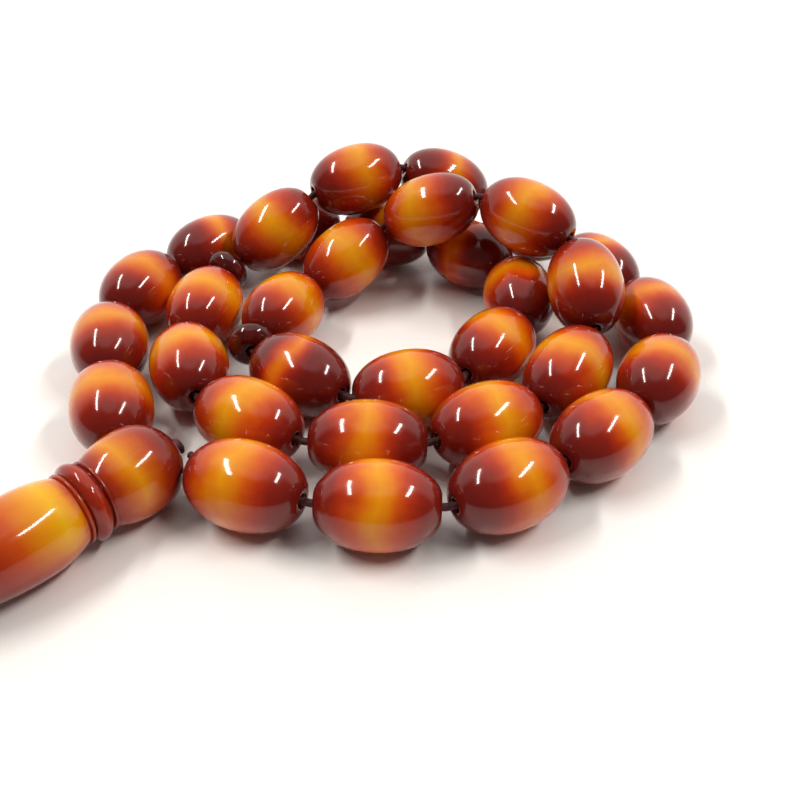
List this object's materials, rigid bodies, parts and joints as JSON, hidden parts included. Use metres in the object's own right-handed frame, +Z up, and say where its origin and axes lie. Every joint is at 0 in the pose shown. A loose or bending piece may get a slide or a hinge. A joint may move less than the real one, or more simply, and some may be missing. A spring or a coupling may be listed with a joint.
{
  "type": "misbaha prayer beads",
  "caption": "Strand of oval two-tone resin prayer beads with small dividers, a turned leader bead and a thread tassel, laid down in a double coil; each bead turns on the string.",
  "frame": {"origin": "middle of the footprint on the table that the coil lies on", "axes": "+Z up; -Y towards the side where the leader lies, which is the front; +X to the right seen from there"},
  "size_m": [0.1146, 0.1152, 0.0191],
  "materials": {
    "amber_resin": "polished two-tone cast resin, yellow-orange in the middle and dark maroon at the ends",
    "leader_resin": "the same polished two-tone cast resin, turned",
    "dark_resin": "polished dark maroon cast resin",
    "thread": "tightly twisted maroon thread",
    "tassel_thread": "silky twisted maroon thread"
  },
  "bodies": {
    "string": {"string_loop": "thread"},
    "leader_cord": {"leader_cord": "thread"},
    "leader": {"leader": "leader_resin"},
    "tassel": {"tassel_cord": "tassel_thread", "tassel_head": "tassel_thread", "tassel_skirt": "tassel_thread"},
    "divider_1": {"divider_1": "dark_resin"},
    "divider_2": {"divider_2": "dark_resin"},
    "bead_01": {"bead_01": "amber_resin"},
    "bead_02": {"bead_02": "amber_resin"},
    "bead_03": {"bead_03": "amber_resin"},
    "bead_04": {"bead_04": "amber_resin"},
    "bead_05": {"bead_05": "amber_resin"},
    "bead_06": {"bead_06": "amber_resin"},
    "bead_07": {"bead_07": "amber_resin"},
    "bead_08": {"bead_08": "amber_resin"},
    "bead_09": {"bead_09": "amber_resin"},
    "bead_10": {"bead_10": "amber_resin"},
    "bead_11": {"bead_11": "amber_resin"},
    "bead_12": {"bead_12": "amber_resin"},
    "bead_13": {"bead_13": "amber_resin"},
    "bead_14": {"bead_14": "amber_resin"},
    "bead_15": {"bead_15": "amber_resin"},
    "bead_16": {"bead_16": "amber_resin"},
    "bead_17": {"bead_17": "amber_resin"},
    "bead_18": {"bead_18": "amber_resin"},
    "bead_19": {"bead_19": "amber_resin"},
    "bead_20": {"bead_20": "amber_resin"},
    "bead_21": {"bead_21": "amber_resin"},
    "bead_22": {"bead_22": "amber_resin"},
    "bead_23": {"bead_23": "amber_resin"},
    "bead_24": {"bead_24": "amber_resin"},
    "bead_25": {"bead_25": "amber_resin"},
    "bead_26": {"bead_26": "amber_resin"},
    "bead_27": {"bead_27": "amber_resin"},
    "bead_28": {"bead_28": "amber_resin"},
    "bead_29": {"bead_29": "amber_resin"},
    "bead_30": {"bead_30": "amber_resin"},
    "bead_31": {"bead_31": "amber_resin"},
    "bead_32": {"bead_32": "amber_resin"},
    "bead_33": {"bead_33": "amber_resin"}
  },
  "joints": [
    {"name": "leader_lift", "type": "hinge", "parent": "string", "child": "leader_cord", "pos_m": [-0.00456, 0.00039, 0.0049], "axis": [-0.7431, 0.6691, 0], "range_deg": [0, 80]},
    {"name": "leader_spin", "type": "hinge", "parent": "leader_cord", "child": "leader", "pos_m": [-0.00503, -0.00013, 0.0049], "axis": [-0.6691, -0.7431, 0], "continuous": true},
    {"name": "tassel_swing", "type": "hinge", "parent": "leader_cord", "child": "tassel", "pos_m": [-0.02697, -0.0245, 0.0049], "axis": [0, 0, 1], "range_deg": [-45, 45]},
    {"name": "divider_1_spin", "type": "hinge", "parent": "string", "child": "divider_1", "pos_m": [-0.00428, 0.03812, 0.00555], "axis": [-0.4717, -0.8562, -0.2107], "continuous": true},
    {"name": "divider_2_spin", "type": "hinge", "parent": "string", "child": "divider_2", "pos_m": [0.00122, 0.02037, 0.00505], "axis": [0.1436, -0.9865, -0.0781], "continuous": true},
    {"name": "bead_01_spin", "type": "hinge", "parent": "string", "child": "bead_01", "pos_m": [0.00372, -0.00563, 0.0048], "axis": [0.9323, -0.3616, 0.0002], "continuous": true},
    {"name": "bead_02_spin", "type": "hinge", "parent": "string", "child": "bead_02", "pos_m": [0.01747, -0.00863, 0.0048], "axis": [0.9992, -0.0408, -0.0006], "continuous": true},
    {"name": "bead_03_spin", "type": "hinge", "parent": "string", "child": "bead_03", "pos_m": [0.03097, -0.00563, 0.0048], "axis": [0.8843, 0.4669, 0.0015], "continuous": true},
    {"name": "bead_04_spin", "type": "hinge", "parent": "string", "child": "bead_04", "pos_m": [0.04197, 0.00262, 0.0048], "axis": [0.7262, 0.6875, -0.0031], "continuous": true},
    {"name": "bead_05_spin", "type": "hinge", "parent": "string", "child": "bead_05", "pos_m": [0.05047, 0.01337, 0.0048], "axis": [0.4583, 0.8888, 0.0057], "continuous": true},
    {"name": "bead_06_spin", "type": "hinge", "parent": "string", "child": "bead_06", "pos_m": [0.05247, 0.02687, 0.0048], "axis": [-0.1741, 0.9847, -0.0103], "continuous": true},
    {"name": "bead_07_spin", "type": "hinge", "parent": "string", "child": "bead_07", "pos_m": [0.04747, 0.03962, 0.0048], "axis": [-0.5123, 0.8586, 0.019], "continuous": true},
    {"name": "bead_08_spin", "type": "hinge", "parent": "string", "child": "bead_08", "pos_m": [0.03847, 0.04987, 0.0068], "axis": [-0.7879, 0.5528, 0.2713], "continuous": true},
    {"name": "bead_09_spin", "type": "hinge", "parent": "string", "child": "bead_09", "pos_m": [0.02622, 0.05287, 0.0118], "axis": [-0.8981, -0.1238, 0.4219], "continuous": true},
    {"name": "bead_10_spin", "type": "hinge", "parent": "string", "child": "bead_10", "pos_m": [0.01347, 0.04887, 0.0143], "axis": [-0.9033, -0.4077, -0.1338], "continuous": true},
    {"name": "bead_11_spin", "type": "hinge", "parent": "string", "child": "bead_11", "pos_m": [0.00222, 0.04312, 0.0093], "axis": [-0.7392, -0.4508, -0.5004], "continuous": true},
    {"name": "bead_12_spin", "type": "hinge", "parent": "string", "child": "bead_12", "pos_m": [-0.00603, 0.02962, 0.0048], "axis": [-0.1762, -0.9837, -0.0358], "continuous": true},
    {"name": "bead_13_spin", "type": "hinge", "parent": "string", "child": "bead_13", "pos_m": [-0.00578, 0.01587, 0.0048], "axis": [0.284, -0.9586, 0.019], "continuous": true},
    {"name": "bead_14_spin", "type": "hinge", "parent": "string", "child": "bead_14", "pos_m": [0.00272, 0.00537, 0.0048], "axis": [0.8604, -0.5094, -0.0125], "continuous": true},
    {"name": "bead_15_spin", "type": "hinge", "parent": "string", "child": "bead_15", "pos_m": [0.01622, 0.00137, 0.0048], "axis": [0.9994, -0.0303, 0.0156], "continuous": true},
    {"name": "bead_16_spin", "type": "hinge", "parent": "string", "child": "bead_16", "pos_m": [0.02947, 0.00462, 0.0048], "axis": [0.8833, 0.468, -0.0285], "continuous": true},
    {"name": "bead_17_spin", "type": "hinge", "parent": "string", "child": "bead_17", "pos_m": [0.03972, 0.01362, 0.00555], "axis": [0.5493, 0.8181, 0.1705], "continuous": true},
    {"name": "bead_18_spin", "type": "hinge", "parent": "string", "child": "bead_18", "pos_m": [0.04322, 0.02637, 0.0098], "axis": [-0.0834, 0.919, 0.3852], "continuous": true},
    {"name": "bead_19_spin", "type": "hinge", "parent": "string", "child": "bead_19", "pos_m": [0.03672, 0.03737, 0.01405], "axis": [-0.8063, 0.5607, 0.1883], "continuous": true},
    {"name": "bead_20_spin", "type": "hinge", "parent": "string", "child": "bead_20", "pos_m": [0.02397, 0.04212, 0.0128], "axis": [-0.9121, 0.1418, -0.3846], "continuous": true},
    {"name": "bead_21_spin", "type": "hinge", "parent": "string", "child": "bead_21", "pos_m": [0.01222, 0.03962, 0.00655], "axis": [-0.7222, -0.5664, -0.397], "continuous": true},
    {"name": "bead_22_spin", "type": "hinge", "parent": "string", "child": "bead_22", "pos_m": [0.00447, 0.02862, 0.0048], "axis": [-0.418, -0.9053, 0.0752], "continuous": true},
    {"name": "bead_23_spin", "type": "hinge", "parent": "string", "child": "bead_23", "pos_m": [0.00772, 0.01412, 0.0048], "axis": [0.8091, -0.5876, -0.0127], "continuous": true},
    {"name": "bead_24_spin", "type": "hinge", "parent": "string", "child": "bead_24", "pos_m": [0.02072, 0.01112, 0.0048], "axis": [0.9657, 0.2596, 0.0079], "continuous": true},
    {"name": "bead_25_spin", "type": "hinge", "parent": "string", "child": "bead_25", "pos_m": [0.03122, 0.01962, 0.0048], "axis": [0.5589, 0.8293, -0.0041], "continuous": true},
    {"name": "bead_26_spin", "type": "hinge", "parent": "string", "child": "bead_26", "pos_m": [0.03572, 0.03237, 0.0048], "axis": [-0.0106, 0.9999, 0.0019], "continuous": true},
    {"name": "bead_27_spin", "type": "hinge", "parent": "string", "child": "bead_27", "pos_m": [0.02972, 0.04437, 0.0048], "axis": [-0.7682, 0.6402, -0.0007], "continuous": true},
    {"name": "bead_28_spin", "type": "hinge", "parent": "string", "child": "bead_28", "pos_m": [0.01772, 0.05087, 0.0048], "axis": [-0.9411, 0.3381, 0.0002], "continuous": true},
    {"name": "bead_29_spin", "type": "hinge", "parent": "string", "child": "bead_29", "pos_m": [0.00422, 0.05237, 0.0048], "axis": [-0.9807, -0.1957, -0.0001], "continuous": true},
    {"name": "bead_30_spin", "type": "hinge", "parent": "string", "child": "bead_30", "pos_m": [-0.00778, 0.04562, 0.0048], "axis": [-0.7218, -0.6921, 0], "continuous": true},
    {"name": "bead_31_spin", "type": "hinge", "parent": "string", "child": "bead_31", "pos_m": [-0.01553, 0.03437, 0.0048], "axis": [-0.3496, -0.9369, 0], "continuous": true},
    {"name": "bead_32_spin", "type": "hinge", "parent": "string", "child": "bead_32", "pos_m": [-0.01653, 0.02062, 0.0048], "axis": [0.1836, -0.983, 0], "continuous": true},
    {"name": "bead_33_spin", "type": "hinge", "parent": "string", "child": "bead_33", "pos_m": [-0.01328, 0.00762, 0.0048], "axis": [0.2876, -0.9577, 0], "continuous": true}
  ]
}
